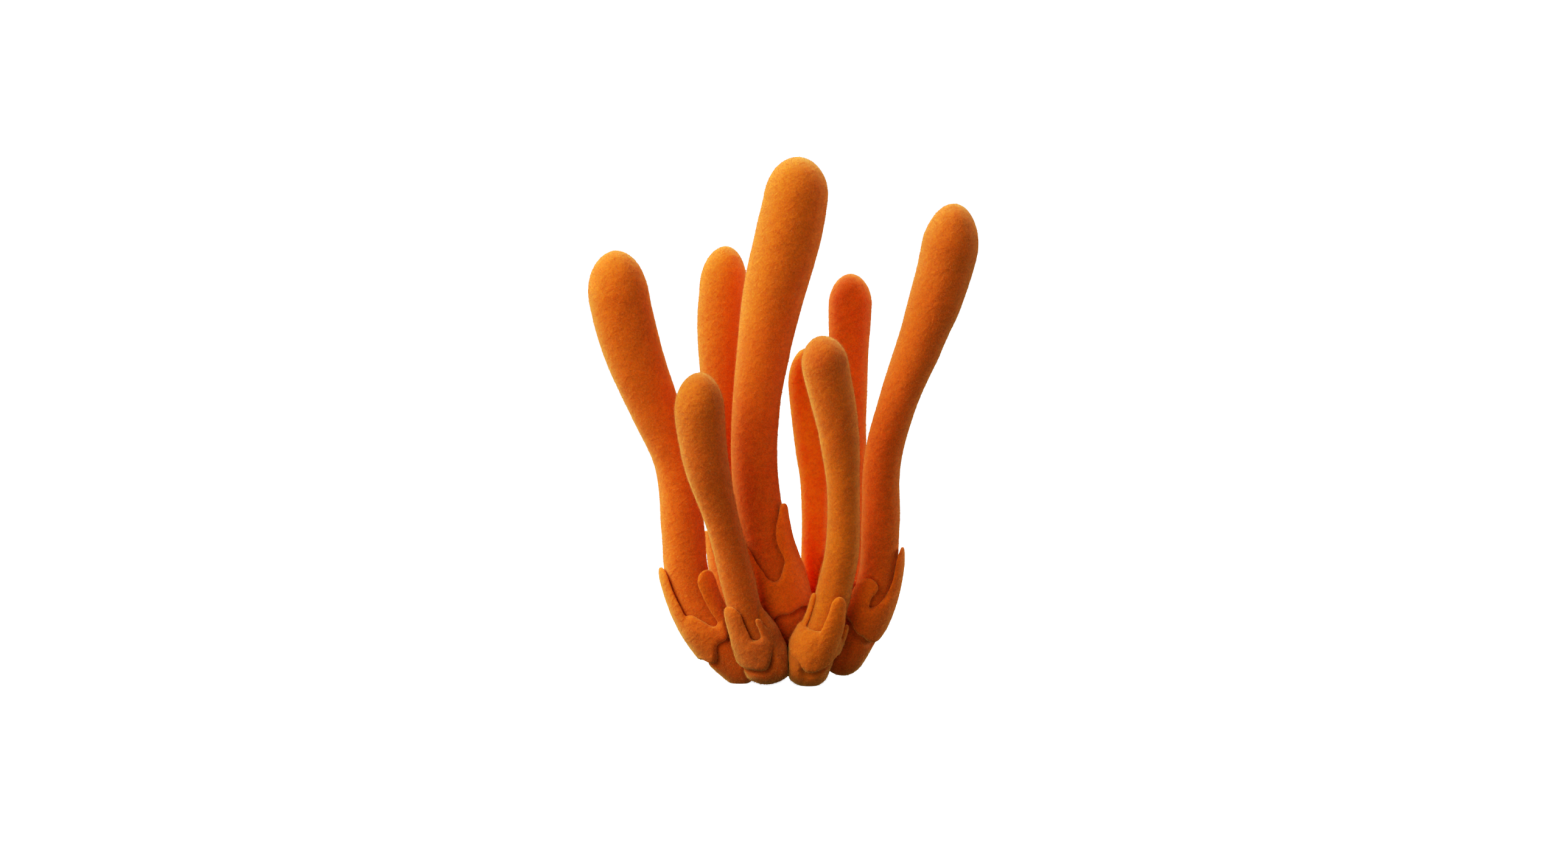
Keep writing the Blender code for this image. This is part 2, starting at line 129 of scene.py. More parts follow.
# A path runs from the foot to the tip: x, y, height and diameter. The first and the last point
# are the two ends of the club, and their rounding starts at the points next to them.
# The lip and the rim of a sheath are rows of an angle from the front towards the right, a height
# on the club's middle line, and how far the edge stands proud of the sheath or, below 0, sinks
# into the skin. A leaf runs from its root to its tip: angle, height, half width and lift.
# The two tones are the club's and its sheath's.
BUNCH = {
    "left": {
        "path": [
            (-3.4, -1.4, 1.2, 0),
            (-5.6, -1.6, 2.5, 5.4),
            (-7.6, -1.8, 4.5, 5.8),
            (-10.6, -1.9, 8.7, 6.0),
            (-12.8, -2.0, 14.4, 6.0),
            (-13.4, -2.2, 20.5, 5.9),
            (-14.5, -2.6, 30.3, 6.2),
            (-17.1, -3.2, 36.9, 7.0),
            (-20.2, -4.0, 45.1, 8.1),
            (-21.8, -4.4, 51.7, 8.4),
            (-22.5, -4.6, 58.0, 0),
        ],
        "lip": [
            (-100, 5.0, 0.0), (-64, 5.1, 0.1), (-46, 4.4, 0.15), (-27, 4.7, 0.15), (-10, 5.5, 0.05),
            (20, 5.4, 0.0), (100, 5.6, 0.0), (180, 4.9, 0.0),
        ],
        "rim": [
            (-70, 9.8, 0.0), (-38, 10.1, -0.2), (-19, 9.9, -0.35), (-6, 9.1, -0.35), (13, 7.6, -0.3),
            (40, 8.2, 0.0), (100, 9.4, 0.0), (170, 8.9, 0.0), (230, 9.4, 0.0),
        ],
        "leaves": [
            [(-72, 5.5, 2.4, 0.0), (-73, 11.0, 2.3, 0.0), (-74, 14.2, 1.8, 0.0), (-76, 16.1, 0, 0.0)],
            [(56, 6.0, 1.6, 0.0), (52, 10.0, 1.9, 0.0), (48, 13.0, 1.85, 0.1), (44, 15.1, 0, 0.1)],
            [(142, 6.0, 1.9, 0.0), (142, 10.0, 1.7, 0.0), (142, 12.6, 0, 0.1)],
            [(-150, 6.0, 1.7, 0.0), (-152, 9.4, 1.5, 0.0), (-154, 11.6, 0, 0.1)],
        ],
        "slot": "orange",
        "tones": ("apricot", "apricot_skin"),
    },
    "back_left": {
        "path": [
            (-2.4, 4.4, -1.6, 0),
            (-3.0, 4.7, 0.9, 5.0),
            (-4.8, 5.2, 6.1, 5.3),
            (-6.2, 5.5, 11.8, 4.7),
            (-7.1, 5.8, 17.4, 4.4),
            (-7.8, 6.6, 27.1, 4.7),
            (-8.2, 7.8, 38.4, 5.8),
            (-8.4, 8.6, 46.4, 6.7),
            (-8.1, 9.0, 52.0, 6.7),
            (-7.7, 9.3, 57.7, 0),
        ],
        "lip": [(-90, 4.6, 0.05), (0, 4.4, 0.05), (90, 4.8, 0.0), (180, 4.6, 0.1)],
        "rim": [
            (-60, 11.0, 0.0), (20, 10.6, -0.2), (120, 10.2, 0.0), (200, 11.4, 0.0), (245, 10.0, -0.2),
        ],
        "leaves": [
            [(-76, 6.5, 2.5, 0.0), (-76, 12.5, 2.3, 0.15), (-78, 17.6, 1.8, 0.4), (-80, 20.0, 0, 0.45)],
            [(10, 7.0, 1.7, 0.0), (10, 11.5, 1.5, 0.0), (9, 14.0, 0, 0.1)],
            [(112, 7.0, 1.8, 0.0), (112, 12.0, 1.6, 0.05), (110, 15.2, 0, 0.15)],
            [(178, 7.0, 2.0, 0.0), (179, 12.5, 1.8, 0.05), (182, 16.4, 0, 0.15)],
        ],
        "slot": "red",
        "tones": ("amber", "amber"),
    },
    "centre": {
        "path": [
            (0.3, 0.8, 0.7, 0),
            (0.2, 0.9, 3.4, 6.6),
            (0.0, 1.0, 6.8, 7.2),
            (-0.8, 1.0, 12.1, 7.0),
            (-2.4, 1.2, 18.2, 6.6),
            (-3.7, 1.6, 25.9, 6.5),
            (-3.6, 2.0, 37.3, 6.7),
            (-2.6, 2.3, 44.6, 7.5),
            (-0.9, 2.5, 53.5, 8.7),
            (0.5, 2.7, 59.0, 9.1),
            (1.6, 2.8, 64.4, 8.9),
            (2.2, 2.9, 70.0, 0),
        ],
        "lip": [
            (-90, 8.2, 0.0), (-40, 8.3, 0.05), (-17, 8.7, 0.1), (-3, 9.2, 0.1), (15, 9.1, 0.1),
            (34, 9.5, 0.05), (48, 9.7, 0.0), (100, 9.2, 0.0), (180, 8.3, 0.05),
        ],
        "rim": [
            (-34, 16.6, 0.0), (-18, 14.7, 0.0), (-3, 13.7, 0.0), (10, 13.8, 0.0), (24, 14.9, 0.0),
            (45, 16.0, 0.0), (110, 14.6, 0.0), (150, 13.6, -0.1), (230, 14.2, 0.0),
        ],
        "leaves": [
            [
                (64, 9.6, 3.0, 0.0), (64, 14.0, 2.6, 0.0), (63, 16.4, 2.2, 0.0), (56, 18.5, 2.1, 0.0),
                (57, 20.2, 1.75, 0.05), (63, 22.2, 1.1, 0.1), (67, 23.4, 0, 0.1),
            ],
            [(-84, 9.5, 4.7, 0.0), (-84, 14.5, 4.8, 0.0), (-86, 17.0, 3.8, 0.0), (-90, 19.8, 0, 0.1)],
            [(178, 9.5, 2.4, 0.0), (178, 14.0, 2.2, 0.0), (180, 17.2, 0, 0.1)],
        ],
        "slot": "orange",
        "tones": ("orange", "orange_skin"),
    },
    "front_left": {
        "path": [
            (-1.5, -4.6, 0.2, 0),
            (-2.0, -4.7, 2.4, 5.8),
            (-3.1, -4.8, 4.7, 5.6),
            (-4.8, -5.1, 9.0, 4.6),
            (-6.2, -5.7, 14.5, 4.7),
            (-7.3, -6.4, 19.0, 4.6),
            (-8.6, -7.2, 23.8, 4.9),
            (-10.2, -8.2, 29.8, 6.2),
            (-11.1, -8.8, 36.8, 6.9),
            (-11.1, -9.2, 42.2, 0),
        ],
        "lip": [
            (-110, 4.2, 0.0), (-74, 4.2, 0.0), (-52, 3.6, 0.0), (-33, 3.1, 0.0), (-14, 2.6, 0.05),
            (-2, 2.6, 0.05), (8, 3.0, 0.0), (20, 3.6, -0.12), (36, 4.4, -0.25), (100, 4.6, -0.25),
            (150, 4.4, -0.1), (200, 4.2, 0.0),
        ],
        "rim": [
            (-50, 7.6, 0.0), (-14, 7.2, 0.0), (0, 6.6, 0.0), (12, 6.5, 0.0), (26, 7.2, -0.25),
            (40, 8.8, -0.85), (56, 11.0, -1.05), (110, 11.0, -1.05), (140, 8.6, -0.4),
            (200, 7.4, 0.0), (260, 7.4, 0.0),
        ],
        "leaves": [
            [(-44, 4.2, 2.3, 0.0), (-46, 7.2, 2.1, 0.1), (-46, 9.4, 1.75, 0.1), (-43, 11.5, 0, 0.1)],
            [(38, 4.6, 1.5, -0.15), (34, 6.6, 0.9, -0.1), (29, 8.3, 0.55, 0.0), (26, 9.1, 0, 0.05)],
            [(-97, 5.2, 1.2, 0.0), (-100, 7.4, 0.9, 0.1), (-101, 9.3, 0, 0.15)],
            [(170, 5.0, 1.8, 0.0), (170, 8.0, 1.7, 0.0), (170, 10.4, 0, 0.1)],
        ],
        "slot": "ochre",
        "tones": ("ochre", "ochre_skin"),
    },
    "front_right": {
        "path": [
            (2.3, -4.6, -0.15, 0),
            (3.1, -4.7, 2.4, 5.5),
            (4.1, -4.8, 4.9, 5.4),
            (5.5, -5.1, 8.3, 4.8),
            (6.6, -5.7, 12.4, 4.8),
            (7.8, -6.6, 18.6, 4.6),
            (7.9, -7.4, 25.1, 4.5),
            (7.3, -8.3, 33.8, 5.6),
            (5.5, -9.0, 43.0, 6.5),
            (4.7, -9.3, 47.0, 0),
        ],
        "lip": [
            (-110, 3.0, -0.25), (-60, 2.6, -0.25), (-26, 2.4, -0.25), (-12, 2.3, -0.15), (0, 2.1, 0.0),
            (16, 2.3, 0.1), (28, 2.8, 0.1), (46, 3.7, 0.05), (62, 4.8, 0.0), (90, 5.2, 0.0),
            (180, 3.6, 0.0),
        ],
        "rim": [
            (-60, 7.4, 0.0), (-36, 7.4, -0.2), (-24, 7.5, -0.25), (-11, 7.7, -0.1), (10, 8.2, 0.0),
            (60, 7.8, 0.0), (110, 7.6, 0.0), (200, 7.4, 0.0), (260, 7.6, 0.0),
        ],
        "leaves": [
            [
                (-86, 4.0, 1.7, -0.2), (-86, 8.0, 1.2, -0.25), (-82, 10.4, 0.95, -0.3),
                (-74, 12.1, 0, -0.3),
            ],
            [
                (24, 3.8, 1.8, 0.0), (24, 6.6, 1.7, 0.25), (24, 9.0, 1.5, 0.3), (21, 11.2, 1.2, 0.15),
                (18, 12.9, 0, 0.1),
            ],
            [(74, 5.6, 1.1, 0.0), (76, 8.0, 0.8, 0.1), (75, 9.2, 0, 0.1)],
            [(164, 4.6, 1.8, 0.0), (164, 8.2, 1.6, 0.0), (166, 10.8, 0, 0.1)],
            [(-134, 4.6, 1.6, 0.0), (-134, 7.6, 1.4, 0.0), (-135, 9.8, 0, 0.1)],
        ],
        "slot": "ochre",
        "tones": ("gold", "gold_skin"),
    },
    "back": {
        "path": [
            (0.2, 7.9, -1.6, 0),
            (1.0, 7.9, 0.9, 4.6),
            (2.6, 7.7, 5.9, 5.0),
            (4.1, 7.5, 11.2, 4.4),
            (4.4, 7.4, 17.3, 4.2),
            (4.4, 7.6, 24.6, 4.4),
            (3.8, 8.2, 32.0, 5.2),
            (3.3, 8.7, 38.4, 5.7),
            (3.0, 9.0, 44.0, 0),
        ],
        "lip": [(-90, 5.2, 0.0), (0, 4.8, 0.05), (90, 4.4, 0.0), (150, 4.6, 0.1), (210, 5.0, 0.1)],
        "rim": [
            (-70, 10.4, 0.0), (-5, 10.6, -0.2), (50, 11.0, 0.0), (120, 9.8, -0.2), (180, 10.6, 0.0),
            (235, 9.6, -0.2),
        ],
        "leaves": [
            [(46, 6.5, 2.3, 0.0), (48, 12.0, 2.1, 0.0), (50, 17.2, 0, 0.15)],
            [(-70, 6.5, 1.8, 0.0), (-70, 10.8, 1.6, 0.0), (-70, 13.4, 0, 0.1)],
            [(176, 6.5, 2.3, 0.0), (177, 11.6, 2.1, 0.05), (180, 15.4, 0, 0.15)],
        ],
        "slot": "red",
        "tones": ("flame", "flame"),
    },
    "back_right": {
        "path": [
            (2.4, 4.9, -1.2, 0),
            (3.5, 4.7, 1.3, 4.6),
            (6.0, 4.3, 6.0, 4.9),
            (7.8, 4.0, 11.5, 4.3),
            (8.6, 4.2, 17.6, 4.1),
            (9.0, 5.2, 26.5, 4.2),
            (8.8, 6.6, 35.2, 4.9),
            (8.7, 7.7, 42.4, 5.5),
            (8.9, 8.6, 49.7, 6.1),
            (9.0, 9.0, 54.0, 0),
        ],
        "lip": [(-90, 4.2, 0.0), (0, 4.4, 0.05), (90, 4.7, 0.1), (180, 4.4, 0.1)],
        "rim": [
            (-60, 9.6, 0.0), (-20, 10.2, 0.0), (40, 9.4, -0.2), (110, 10.4, 0.0), (150, 9.4, -0.2),
            (220, 10.2, 0.0),
        ],
        "leaves": [
            [(-20, 6.5, 1.7, 0.0), (-20, 11.0, 1.5, 0.0), (-20, 13.6, 0, 0.1)],
            [(104, 6.5, 1.9, 0.0), (104, 12.4, 1.7, 0.05), (102, 15.8, 0, 0.15)],
            [(-160, 6.5, 2.1, 0.0), (-160, 11.5, 1.8, 0.05), (-158, 14.8, 0, 0.15)],
        ],
        "slot": "red",
        "tones": ("red", "red"),
    },
    "right": {
        "path": [
            (6.2, -0.9, 1.3, 0),
            (8.1, -0.9, 3.9, 5.1),
            (9.8, -0.9, 6.8, 5.1),
            (11.3, -1.0, 10.0, 5.2),
            (12.5, -1.1, 14.4, 5.2),
            (12.9, -1.0, 21.3, 5.3),
            (13.2, -0.6, 29.8, 5.3),
            (15.3, 0.1, 37.7, 5.5),
            (18.3, 1.0, 45.6, 6.5),
            (20.5, 1.6, 51.7, 7.5),
            (22.0, 2.0, 57.4, 7.9),
            (22.9, 2.2, 63.8, 0),
        ],
        "lip": [
            (-60, 7.6, 0.0), (-30, 7.5, 0.0), (-13, 7.0, 0.05), (3, 6.7, 0.05), (18, 6.7, 0.05),
            (40, 6.5, 0.1), (64, 6.7, 0.05), (82, 7.7, 0.0), (120, 8.0, 0.0), (180, 7.0, 0.05),
            (240, 7.2, 0.0),
        ],
        "rim": [
            (-50, 10.4, 0.0), (-10, 10.5, 0.0), (10, 10.6, 0.0), (24, 11.3, 0.0), (42, 12.8, 0.0),
            (100, 12.0, 0.0), (140, 10.2, -0.1), (180, 10.8, 0.0), (215, 10.0, -0.1), (260, 10.6, 0.0),
        ],
        "leaves": [
            [(82, 8.4, 2.8, 0.0), (82, 12.0, 2.6, 0.0), (80, 15.6, 1.9, 0.0), (76, 18.4, 0, 0.05)],
            [(-43, 8.0, 2.3, 0.0), (-36, 10.6, 1.9, 0.1), (-22, 12.6, 1.45, 0.3), (4, 13.5, 0, 0.3)],
            [(-112, 7.6, 1.8, 0.0), (-112, 10.8, 1.6, 0.0), (-112, 13.0, 0, 0.1)],
            [(176, 7.6, 1.9, 0.0), (176, 11.2, 1.7, 0.0), (176, 13.6, 0, 0.1)],
        ],
        "slot": "orange",
        "tones": ("rust", "rust_skin"),
    },
}


def smooth_step(share):
    """Eases from 0 to 1 while the share goes from 0 to 1."""
    share = np.clip(share, 0, 1)
    return share * share * (3 - 2 * share)


def through(knots, rows, slopes, where):
    """A smooth curve through the rows, read at the given places along it."""
    part = np.clip(np.searchsorted(knots, where, "right") - 1, 0, len(knots) - 2)
    span = knots[part + 1] - knots[part]
    step = ((where - knots[part]) / span)[:, None]
    span = span[:, None]
    return (
        (2 * step**3 - 3 * step**2 + 1) * rows[part]
        + (step**3 - 2 * step**2 + step) * span * slopes[part]
        + (3 * step**2 - 2 * step**3) * rows[part + 1]
        + (step**3 - step**2) * span * slopes[part + 1]
    )


class MiddleLine:
    """The curved middle line of a club, with its diameter, by the distance from the foot's end."""

    def __init__(self, path):
        self.rows = np.array(path, float)
        self.rows[0, 3] = self.rows[1, 3]
        self.rows[-1, 3] = self.rows[-2, 3]
        steps = np.linalg.norm(np.diff(self.rows[:, :3], axis=0), axis=1)
        self.knots = np.append(0.0, steps.cumsum())
        self.slopes = np.gradient(self.rows, self.knots, axis=0)
        self.length = self.knots[-1]
        self.foot_rounding = self.knots[1]
        self.tip_rounding = self.length - self.knots[-2]
        self.table = self.at(np.linspace(0.0, self.length, LINE_SAMPLES))

    def at(self, distance):
        """x, y, height and diameter at each distance."""
        return through(self.knots, self.rows, self.slopes, distance)

    def distance_at(self, height):
        """How far along the line each height lies."""
        return np.interp(height, self.table[:, 2], np.linspace(0.0, self.length, LINE_SAMPLES))

    def circle_at(self, height):
        """x, y and radius where the line passes each height."""
        x, y, diameter = [np.interp(height, self.table[:, 2], self.table[:, i]) for i in (0, 1, 3)]
        return x, y, diameter / 2

    def rounding(self, distance):
        """1 along the club, falling to 0 at both ends as an ellipse does."""
        foot = np.clip((self.foot_rounding - distance) / self.foot_rounding, 0, 1)
        tip = np.clip((distance - self.length + self.tip_rounding) / self.tip_rounding, 0, 1)
        return np.sqrt(1 - foot**2) * np.sqrt(1 - tip**2)

    def surface(self, distance, angle, offset=0.0):
        """Points this far outside the skin, at a distance and an angle from the front."""
        here = self.at(distance)
        ahead = self.at(np.minimum(distance + TANGENT_STEP, self.length))
        along = (ahead - self.at(np.maximum(distance - TANGENT_STEP, 0)))[:, :3]
        along = along / np.linalg.norm(along, axis=1)[:, None]
        front = np.array([0.0, -1.0, 0.0]) + along[:, 1:2] * along
        front /= np.linalg.norm(front, axis=1)[:, None]
        right = np.cross(along, front)
        radius = here[:, 3] / 2 * self.rounding(distance) + offset
        outwards = front * np.cos(angle)[:, None] + right * np.sin(angle)[:, None]
        return here[:, :3] + radius[:, None] * outwards


LINES = {name: MiddleLine(body["path"]) for name, body in BUNCH.items()}


def press(points, name, depth):
    """Eases points back to their own side of the flats between the pressed feet."""
    own_x, own_y, own_radius = LINES[name].circle_at(points[:, 2])
    own_radius = own_radius + SHEATH_DEPTH
    low = smooth_step((PRESSED_BELOW + PRESS_FADE - points[:, 2]) / PRESS_FADE)
    for other, line in LINES.items():
        if other == name:
            continue
        x, y, radius = line.circle_at(points[:, 2])
        radius = radius + SHEATH_DEPTH
        away = np.stack([x - own_x, y - own_y], axis=1)
        apart = np.linalg.norm(away, axis=1)
        away /= apart[:, None]
        flat = apart / 2 + (own_radius**2 - radius**2) / (2 * apart) - GAP / 2 - depth
        reach = (points[:, 0] - own_x) * away[:, 0] + (points[:, 1] - own_y) * away[:, 1]
        beyond = np.logaddexp(0.0, (reach - flat) / PRESS_EASE) * PRESS_EASE
        points[:, :2] -= (low * beyond)[:, None] * away
    return points


def round_the_stalk(rows, angle):
    """Height and lift of a lip or a rim at each angle, on a smooth closed curve through its rows."""
    rows = np.array(rows, float)
    turn = np.array([360.0, 0.0, 0.0])
    rows = np.vstack([rows[-2:] - turn, rows, rows[:3] + turn])
    slopes = np.gradient(rows, rows[:, 0], axis=0)
    start = rows[1, 0]
    return through(rows[:, 0], rows, slopes, (np.degrees(angle) - start) % 360 + start)[:, 1:].T


def place(verts, points):
    """Moves each vertex to its point."""
    for vertex, point in zip(verts, points):
        vertex.co = point


def settle(mesh):
    """Puts edges and faces in one fixed order: a new sphere's own order changes from run to run."""
    count = len(mesh.verts)
    mesh.verts.index_update()

    def rank(item):
        first, second, *others = sorted(vertex.index for vertex in item.verts)
        return (first * count + second) * count + sum(others)

    mesh.edges.sort(key=rank)
    mesh.faces.sort(key=rank)


def grow_club(name):
    """A sphere drawn out along the club's middle line, with its foot swollen below the lip."""
    line = LINES[name]
    sides = int(math.pi * line.rows[:, 3].mean() / CLUB_SPACING)
    rings = int(line.length / CLUB_SPACING)
    mesh = bmesh.new()
    bmesh.ops.create_uvsphere(mesh, u_segments=sides, v_segments=rings, radius=1.0)
    settle(mesh)
    places = np.array([vertex.co for vertex in mesh.verts])
    latitude = np.arccos(np.clip(-places[:, 2], -1, 1)) / math.pi
    ring = np.rint(latitude * rings) / rings
    foot_share = line.foot_rounding / line.length
    tip_share = line.tip_rounding / line.length
    foot = line.foot_rounding * (1 - np.cos(np.clip(ring / foot_share, 0, 1) * math.pi / 2))
    tip = line.tip_rounding * (1 - np.cos(np.clip((1 - ring) / tip_share, 0, 1) * math.pi / 2))
    distance = np.where(ring > 1 - tip_share, line.length - tip, ring * line.length)
    distance = np.where(ring < foot_share, foot, distance)
    angle = np.arctan2(places[:, 0], -places[:, 1])
    lip, lip_lift = round_the_stalk(BUNCH[name]["lip"], angle)
    below = line.distance_at(lip) - distance
    bare = smooth_step((below - BARE_START) / BARE_FADE)
    merged = smooth_step(-lip_lift / MERGE_SINK)
    bare = bare + merged * (smooth_step((below + MERGE_START) / MERGE_FADE) - bare)
    swell = (FOOT_SWELL + (MERGE_SWELL - FOOT_SWELL) * merged) * bare * line.rounding(distance)
    swell = swell - NAP_SINK * smooth_step((line.at(distance)[:, 2] - NAP_SINK_START) / NAP_SINK_FADE)
    place(mesh.verts, press(line.surface(distance, angle, swell), name, SHEATH_DEPTH * (1 - bare)))
    return mesh


def tube_ring(mesh, around, sides):
    """A circle spun round the Z axis to a ring: its points, and the two angles of each."""
    start = len(mesh.verts)
    circle = bmesh.ops.create_circle(mesh, segments=around, radius=1.0)
    stood_up = [(vertex.co.x + COLLAR_RADIUS, 0, vertex.co.y) for vertex in circle["verts"]]
    place(circle["verts"], stood_up)
    edges = list({edge for vertex in circle["verts"] for edge in vertex.link_edges})
    bmesh.ops.spin(
        mesh, geom=circle["verts"] + edges, cent=(0, 0, 0), axis=(0, 0, 1),
        angle=2 * math.pi, steps=sides, use_merge=True,
    )
    mesh.verts.ensure_lookup_table()
    verts = mesh.verts[start:]
    places = np.array([vertex.co for vertex in verts])
    angle = np.arctan2(places[:, 0], -places[:, 1])
    turn = np.arctan2(places[:, 2], np.hypot(places[:, 0], places[:, 1]) - COLLAR_RADIUS)
    return verts, angle, turn


def add_collar(mesh, name):
    """The sheath's ring: up its outside from the lip to the rim, and down its inside."""
    line = LINES[name]
    around = 2 * (COLLAR_ROWS + 1)
    verts, angle, turn = tube_ring(mesh, around, COLLAR_SIDES)
    step = np.rint(turn / (2 * math.pi) * around) % around
    outside = step <= COLLAR_ROWS
    row = np.where(outside, step, around - 1 - step) / COLLAR_ROWS
    row = (1 - np.cos(row * math.pi)) / 2
    lip, lip_lift = round_the_stalk(BUNCH[name]["lip"], angle)
    rim, rim_lift = round_the_stalk(BUNCH[name]["rim"], angle)
    bottom = line.distance_at(lip)
    top = line.distance_at(rim)
    distance = bottom + (top - bottom) * row
    lip_reach = EDGE_REACH + SINK_REACH * np.maximum(-lip_lift, 0)
    rim_reach = EDGE_REACH + SINK_REACH * np.maximum(-rim_lift, 0)
    lift = lip_lift * smooth_step(1 - (distance - bottom) / lip_reach)
    lift = lift + rim_lift * smooth_step(1 - (top - distance) / rim_reach)
    edge = np.clip(1 - np.minimum(distance - bottom, top - distance) / EDGE_ROUNDING, 0, 1)
    offset = np.where(outside, (SHEATH_DEPTH + lift) * np.sqrt(1 - edge**2), -SKIN_OVERLAP)
    points = line.surface(distance, angle, offset)
    place(verts, press(points, name, np.maximum(SHEATH_DEPTH - offset, 0)))


def add_leaf(mesh, name, rows):
    """A flat finger or leaf that lies on the skin, drawn out of a sphere from its root to its tip."""
    line = LINES[name]
    rows = np.array(rows, float)
    rows[-1, 2] = rows[-2, 2]
    rows[:, 0] = np.radians(rows[:, 0])
    rows[:, 1] = line.distance_at(rows[:, 1])
    radius = line.at(rows[:, 1])[:, 3] / 2 + SHEATH_DEPTH / 2
    steps = np.hypot(np.diff(rows[:, 0]) * radius[1:], np.diff(rows[:, 1]))
    knots = np.append(0.0, steps.cumsum())
    slopes = np.gradient(rows, knots, axis=0)
    ball = bmesh.ops.create_uvsphere(mesh, u_segments=LEAF_SIDES, v_segments=LEAF_RINGS, radius=1.0)
    places = np.array([vertex.co for vertex in ball["verts"]])
    share = np.arccos(np.clip(-places[:, 2], -1, 1)) / math.pi
    around = np.arctan2(places[:, 1], places[:, 0])
    length = knots[-1]
    root = rows[0, 2] * LEAF_ROOT
    cap = length - knots[-2]
    near_tip = np.clip((share * length - length + cap) / cap, 0, 1)
    near_root = np.clip((root - share * length) / root, 0, 1)
    where = share * length
    where = np.where(near_tip > 0, length - cap + cap * np.sin(near_tip * math.pi / 2), where)
    where = np.where(near_root > 0, root - root * np.sin(near_root * math.pi / 2), where)
    here = through(knots, rows, slopes, where)
    ahead = through(knots, rows, slopes, np.minimum(where + TANGENT_STEP, length))
    behind = through(knots, rows, slopes, np.maximum(where - TANGENT_STEP, 0))
    round_radius = line.at(here[:, 1])[:, 3] / 2 + SHEATH_DEPTH / 2
    along = np.stack([(ahead - behind)[:, 0] * round_radius, (ahead - behind)[:, 1]], axis=1)
    along /= np.linalg.norm(along, axis=1)[:, None]
    full = np.cos(near_tip * math.pi / 2) * np.cos(near_root * math.pi / 2)
    across = np.cos(around) * here[:, 2] * full
    thickness = LEAF_THICKNESS / 2 * full**LEAF_CROWN
    angle = here[:, 0] - along[:, 1] * across / round_radius
    distance = here[:, 1] + along[:, 0] * across
    middle = SHEATH_DEPTH - LEAF_THICKNESS / 2 + here[:, 3]
    offset = middle + np.sin(around) * thickness
    points = line.surface(distance, angle, offset)
    place(ball["verts"], press(points, name, np.maximum(SHEATH_DEPTH - offset, 0)))


def grow_sheath(name):
    """The collar and its leaves, still separate shapes that the remesh joins."""
    mesh = bmesh.new()
    add_collar(mesh, name)
    for rows in BUNCH[name]["leaves"]:
        add_leaf(mesh, name, rows)
    bmesh.ops.recalc_face_normals(mesh, faces=mesh.faces)
    return mesh


def dent(name, size, depth):
    """Dents of about this size and depth, which hardly ever raise the skin."""
    texture = bpy.data.textures.new(name, "CLOUDS")
    texture.noise_scale = size
    texture.noise_depth = 1
    texture.noise_basis = "ORIGINAL_PERLIN"
    return "DISPLACE", {
        "texture": texture, "texture_coords": "LOCAL", "strength": depth, "mid_level": 0.8,
    }


CLUB_FINISH = [dent("lumps", LUMP_SIZE, LUMP_DEPTH), dent("pebbles", PEBBLE_SIZE, PEBBLE_DEPTH)]
SHEATH_FINISH = [
    ("REMESH", {"mode": "VOXEL", "voxel_size": SHEATH_VOXEL, "use_smooth_shade": True}),
    ("SMOOTH", {"factor": 0.5, "iterations": 20}),
    *CLUB_FINISH,
]


def add_object(name, data):
    """A new object of the scene."""
    item = bpy.data.objects.new(name, data)
    bpy.context.scene.collection.objects.link(item)
    return item


def finish(name, mesh, modifiers):
    """The mesh in millimetres, through its modifiers, cut off at the ground and brought to metres."""
    data = bpy.data.meshes.new(name)
    mesh.to_mesh(data)
    mesh.free()
    data.shade_smooth()
    draft = add_object(name + "_draft", data)
    for kind, settings in modifiers:
        modifier = draft.modifiers.new(kind.lower(), kind)
        for key, value in settings.items():
            setattr(modifier, key, value)
    bpy.context.view_layer.update()
    shaped = draft.evaluated_get(bpy.context.evaluated_depsgraph_get())
    cut = bmesh.new()
    cut.from_mesh(shaped.to_mesh())
    shaped.to_mesh_clear()
    bpy.data.objects.remove(draft)
    ground = bmesh.ops.bisect_plane(
        cut, geom=cut.verts[:] + cut.edges[:] + cut.faces[:], dist=CUT_REACH,
        plane_co=(0, 0, 0), plane_no=(0, 0, -1), clear_outer=True,
    )
    edges = [item for item in ground["geom_cut"] if isinstance(item, bmesh.types.BMEdge)]
    if edges:
        bmesh.ops.holes_fill(cut, edges=edges, sides=0)
    bmesh.ops.scale(cut, vec=(MILLIMETRE,) * 3, verts=cut.verts)
    data.clear_geometry()
    cut.to_mesh(data)
    cut.free()
    data.shade_smooth()
    data.set_sharp_from_angle(angle=math.radians(SHARP_ANGLE))
    return add_object(name, data)
